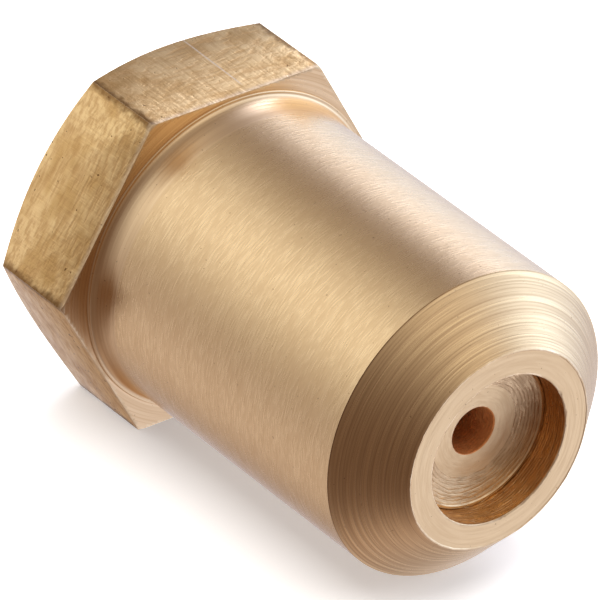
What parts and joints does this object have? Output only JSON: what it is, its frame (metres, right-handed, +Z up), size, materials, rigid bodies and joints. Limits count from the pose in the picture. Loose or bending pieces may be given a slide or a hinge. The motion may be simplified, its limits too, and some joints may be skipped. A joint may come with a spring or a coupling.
{
  "type": "oil burner nozzle",
  "caption": "Brass oil burner nozzle: hexagonal collar, plain round barrel, conical nose with a recessed spray orifice, female inlet thread, clamped swirl parts and strainer inside.",
  "frame": {"origin": "on the nozzle's axis at the inlet face of the hexagon", "axes": "+X along the axis from the inlet end to the spray end, +Z up and square to one flat of the hexagon, +Y to the left when looking along +X"},
  "size_m": [0.0246, 0.0184, 0.016],
  "materials": {
    "body_brass": "turned satin",
    "orifice_brass": "turned satin",
    "distributor_steel": "turned satin",
    "lock_screw_brass": "turned satin",
    "strainer_brass": "turned satin",
    "strainer_core_brass": "drawn tube",
    "gauze": "woven wire",
    "washer_copper": "soft copper, stamped"
  },
  "bodies": {
    "body": {"nozzle_body": "body_brass"},
    "orifice_disc": {"orifice_disc": "orifice_brass"},
    "distributor": {"distributor": "distributor_steel"},
    "lock_screw": {"lock_screw": "lock_screw_brass"},
    "strainer": {"strainer_flange": "strainer_brass", "strainer_core": "strainer_core_brass", "strainer_mesh": "gauze", "strainer_cap": "strainer_brass"},
    "seal_washer": {"seal_washer": "washer_copper"}
  },
  "joints": [
    {"name": "disc_out", "type": "slide", "parent": "body", "child": "orifice_disc", "axis": [-1, 0, 0], "range_m": [0, 0.026]},
    {"name": "lock_screw_travel", "type": "slide", "parent": "orifice_disc", "child": "distributor", "axis": [-1, 0, 0], "range_m": [0, 0.02]},
    {"name": "lock_screw_turn", "type": "hinge", "parent": "distributor", "child": "lock_screw", "pos_m": [0.0129, 0, 0], "axis": [-1, 0, 0], "range_deg": [0, 7200]},
    {"name": "strainer_pull", "type": "slide", "parent": "lock_screw", "child": "strainer", "axis": [-1, 0, 0], "range_m": [0, 0.016]},
    {"name": "washer_lift", "type": "slide", "parent": "strainer", "child": "seal_washer", "axis": [-1, 0, 0], "range_m": [0, 0.012]}
  ],
  "couplings": [
    {"joint": "lock_screw_turn", "follows": "lock_screw_travel", "rad_per_m": 6283.2}
  ]
}
